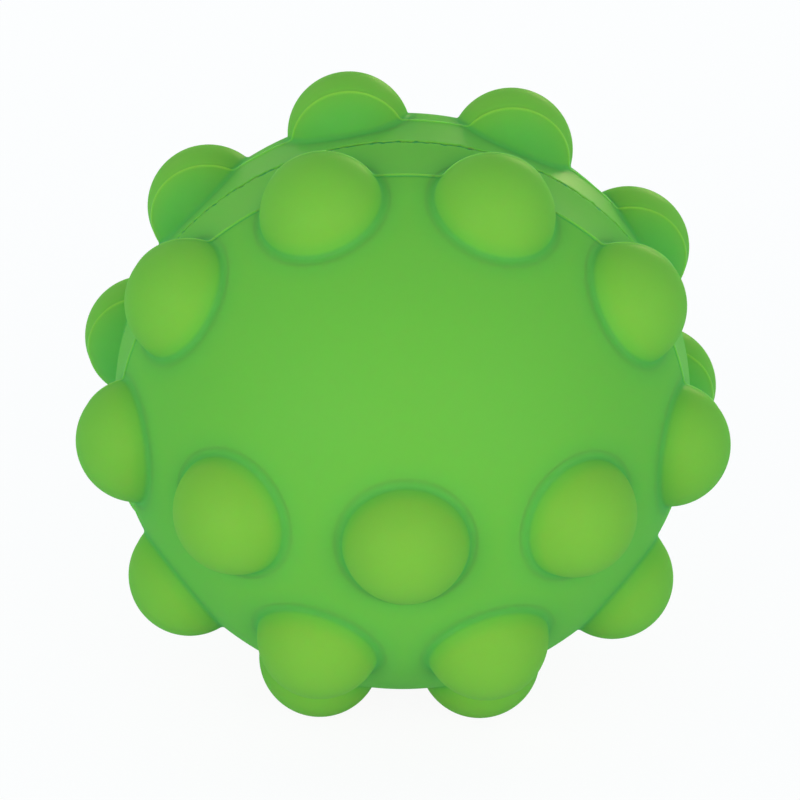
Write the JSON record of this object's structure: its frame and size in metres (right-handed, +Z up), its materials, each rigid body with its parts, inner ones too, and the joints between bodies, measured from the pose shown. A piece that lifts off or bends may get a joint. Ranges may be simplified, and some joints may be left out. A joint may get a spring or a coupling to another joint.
{
  "type": "sensory ball",
  "caption": "Hollow soft silicone ball of two bonded halves, covered in round bumps that press in and spring back, with a smooth panel on each half.",
  "frame": {"origin": "centre of the ball, where the pole axis of the two halves crosses the plane of the bonded seam", "axes": "+Z up with the ball at rest on three bumps; the front half's pole bump looks along -Y, tipped down by 2.3 degrees; +X to the right as seen from the front"},
  "size_m": [0.0806, 0.084, 0.0791],
  "materials": {
    "shell_silicone": "satin",
    "bump_silicone": "satin",
    "bond_adhesive": "satin"
  },
  "bodies": {
    "ball": {"front_half": "shell_silicone", "rear_half": "shell_silicone", "seam_bond": "bond_adhesive"},
    "front_bump_pole": {"front_bump_pole": "bump_silicone"},
    "front_bump_inner_1": {"front_bump_inner_1": "bump_silicone"},
    "front_bump_inner_2": {"front_bump_inner_2": "bump_silicone"},
    "front_bump_inner_3": {"front_bump_inner_3": "bump_silicone"},
    "front_bump_inner_4": {"front_bump_inner_4": "bump_silicone"},
    "front_bump_outer_1": {"front_bump_outer_1": "bump_silicone"},
    "front_bump_outer_2": {"front_bump_outer_2": "bump_silicone"},
    "front_bump_outer_3": {"front_bump_outer_3": "bump_silicone"},
    "front_bump_outer_4": {"front_bump_outer_4": "bump_silicone"},
    "front_bump_outer_5": {"front_bump_outer_5": "bump_silicone"},
    "front_bump_outer_6": {"front_bump_outer_6": "bump_silicone"},
    "front_bump_outer_7": {"front_bump_outer_7": "bump_silicone"},
    "front_bump_outer_8": {"front_bump_outer_8": "bump_silicone"},
    "front_bump_outer_9": {"front_bump_outer_9": "bump_silicone"},
    "front_bump_outer_10": {"front_bump_outer_10": "bump_silicone"},
    "rear_bump_pole": {"rear_bump_pole": "bump_silicone"},
    "rear_bump_inner_1": {"rear_bump_inner_1": "bump_silicone"},
    "rear_bump_inner_2": {"rear_bump_inner_2": "bump_silicone"},
    "rear_bump_inner_3": {"rear_bump_inner_3": "bump_silicone"},
    "rear_bump_inner_4": {"rear_bump_inner_4": "bump_silicone"},
    "rear_bump_outer_1": {"rear_bump_outer_1": "bump_silicone"},
    "rear_bump_outer_2": {"rear_bump_outer_2": "bump_silicone"},
    "rear_bump_outer_3": {"rear_bump_outer_3": "bump_silicone"},
    "rear_bump_outer_4": {"rear_bump_outer_4": "bump_silicone"},
    "rear_bump_outer_5": {"rear_bump_outer_5": "bump_silicone"},
    "rear_bump_outer_6": {"rear_bump_outer_6": "bump_silicone"},
    "rear_bump_outer_7": {"rear_bump_outer_7": "bump_silicone"},
    "rear_bump_outer_8": {"rear_bump_outer_8": "bump_silicone"},
    "rear_bump_outer_9": {"rear_bump_outer_9": "bump_silicone"},
    "rear_bump_outer_10": {"rear_bump_outer_10": "bump_silicone"}
  },
  "joints": [
    {"name": "front_bump_pole_press", "type": "slide", "parent": "ball", "child": "front_bump_pole", "axis": [0, 0.9992, 0.04], "range_m": [0, 0.008], "stiffness_N_per_m": 800},
    {"name": "front_bump_inner_1_press", "type": "slide", "parent": "ball", "child": "front_bump_inner_1", "axis": [-0.5878, 0.8084, 0.0323], "range_m": [0, 0.008], "stiffness_N_per_m": 800},
    {"name": "front_bump_inner_2_press", "type": "slide", "parent": "ball", "child": "front_bump_inner_2", "axis": [-0.2939, 0.788, 0.541], "range_m": [0, 0.008], "stiffness_N_per_m": 800},
    {"name": "front_bump_inner_3_press", "type": "slide", "parent": "ball", "child": "front_bump_inner_3", "axis": [0.2939, 0.788, 0.541], "range_m": [0, 0.008], "stiffness_N_per_m": 800},
    {"name": "front_bump_inner_4_press", "type": "slide", "parent": "ball", "child": "front_bump_inner_4", "axis": [0.5878, 0.8084, 0.0323], "range_m": [0, 0.008], "stiffness_N_per_m": 800},
    {"name": "front_bump_outer_1_press", "type": "slide", "parent": "ball", "child": "front_bump_outer_1", "axis": [-0.2939, 0.3449, -0.8914], "range_m": [0, 0.008], "stiffness_N_per_m": 800},
    {"name": "front_bump_outer_2_press", "type": "slide", "parent": "ball", "child": "front_bump_outer_2", "axis": [-0.7694, 0.3311, -0.5462], "range_m": [0, 0.008], "stiffness_N_per_m": 800},
    {"name": "front_bump_outer_3_press", "type": "slide", "parent": "ball", "child": "front_bump_outer_3", "axis": [-0.9511, 0.3088, 0.0123], "range_m": [0, 0.008], "stiffness_N_per_m": 800},
    {"name": "front_bump_outer_4_press", "type": "slide", "parent": "ball", "child": "front_bump_outer_4", "axis": [-0.7694, 0.2864, 0.5709], "range_m": [0, 0.008], "stiffness_N_per_m": 800},
    {"name": "front_bump_outer_5_press", "type": "slide", "parent": "ball", "child": "front_bump_outer_5", "axis": [-0.2939, 0.2726, 0.9161], "range_m": [0, 0.008], "stiffness_N_per_m": 800},
    {"name": "front_bump_outer_6_press", "type": "slide", "parent": "ball", "child": "front_bump_outer_6", "axis": [0.2939, 0.2726, 0.9161], "range_m": [0, 0.008], "stiffness_N_per_m": 800},
    {"name": "front_bump_outer_7_press", "type": "slide", "parent": "ball", "child": "front_bump_outer_7", "axis": [0.7694, 0.2864, 0.5709], "range_m": [0, 0.008], "stiffness_N_per_m": 800},
    {"name": "front_bump_outer_8_press", "type": "slide", "parent": "ball", "child": "front_bump_outer_8", "axis": [0.9511, 0.3088, 0.0123], "range_m": [0, 0.008], "stiffness_N_per_m": 800},
    {"name": "front_bump_outer_9_press", "type": "slide", "parent": "ball", "child": "front_bump_outer_9", "axis": [0.7694, 0.3311, -0.5462], "range_m": [0, 0.008], "stiffness_N_per_m": 800},
    {"name": "front_bump_outer_10_press", "type": "slide", "parent": "ball", "child": "front_bump_outer_10", "axis": [0.2939, 0.3449, -0.8914], "range_m": [0, 0.008], "stiffness_N_per_m": 800},
    {"name": "rear_bump_pole_press", "type": "slide", "parent": "ball", "child": "rear_bump_pole", "axis": [0, -0.9992, -0.04], "range_m": [0, 0.008], "stiffness_N_per_m": 800},
    {"name": "rear_bump_inner_1_press", "type": "slide", "parent": "ball", "child": "rear_bump_inner_1", "axis": [0.5849, -0.806, -0.0907], "range_m": [0, 0.008], "stiffness_N_per_m": 800},
    {"name": "rear_bump_inner_2_press", "type": "slide", "parent": "ball", "child": "rear_bump_inner_2", "axis": [0.343, -0.8274, 0.4446], "range_m": [0, 0.008], "stiffness_N_per_m": 800},
    {"name": "rear_bump_inner_3_press", "type": "slide", "parent": "ball", "child": "rear_bump_inner_3", "axis": [-0.2419, -0.8298, 0.503], "range_m": [0, 0.008], "stiffness_N_per_m": 800},
    {"name": "rear_bump_inner_4_press", "type": "slide", "parent": "ball", "child": "rear_bump_inner_4", "axis": [-0.5849, -0.8107, 0.026], "range_m": [0, 0.008], "stiffness_N_per_m": 800},
    {"name": "rear_bump_outer_1_press", "type": "slide", "parent": "ball", "child": "rear_bump_outer_1", "axis": [0.2026, -0.2716, -0.9408], "range_m": [0, 0.008], "stiffness_N_per_m": 800},
    {"name": "rear_bump_outer_2_press", "type": "slide", "parent": "ball", "child": "rear_bump_outer_2", "axis": [0.7101, -0.2835, -0.6445], "range_m": [0, 0.008], "stiffness_N_per_m": 800},
    {"name": "rear_bump_outer_3_press", "type": "slide", "parent": "ball", "child": "rear_bump_outer_3", "axis": [0.9464, -0.305, -0.1067], "range_m": [0, 0.008], "stiffness_N_per_m": 800},
    {"name": "rear_bump_outer_4_press", "type": "slide", "parent": "ball", "child": "rear_bump_outer_4", "axis": [0.8211, -0.3279, 0.4671], "range_m": [0, 0.008], "stiffness_N_per_m": 800},
    {"name": "rear_bump_outer_5_press", "type": "slide", "parent": "ball", "child": "rear_bump_outer_5", "axis": [0.3823, -0.3436, 0.8578], "range_m": [0, 0.008], "stiffness_N_per_m": 800},
    {"name": "rear_bump_outer_6_press", "type": "slide", "parent": "ball", "child": "rear_bump_outer_6", "axis": [-0.2026, -0.3459, 0.9161], "range_m": [0, 0.008], "stiffness_N_per_m": 800},
    {"name": "rear_bump_outer_7_press", "type": "slide", "parent": "ball", "child": "rear_bump_outer_7", "axis": [-0.7101, -0.3341, 0.6198], "range_m": [0, 0.008], "stiffness_N_per_m": 800},
    {"name": "rear_bump_outer_8_press", "type": "slide", "parent": "ball", "child": "rear_bump_outer_8", "axis": [-0.9464, -0.3125, 0.082], "range_m": [0, 0.008], "stiffness_N_per_m": 800},
    {"name": "rear_bump_outer_9_press", "type": "slide", "parent": "ball", "child": "rear_bump_outer_9", "axis": [-0.8211, -0.2896, -0.4918], "range_m": [0, 0.008], "stiffness_N_per_m": 800},
    {"name": "rear_bump_outer_10_press", "type": "slide", "parent": "ball", "child": "rear_bump_outer_10", "axis": [-0.3823, -0.274, -0.8825], "range_m": [0, 0.008], "stiffness_N_per_m": 800}
  ]
}
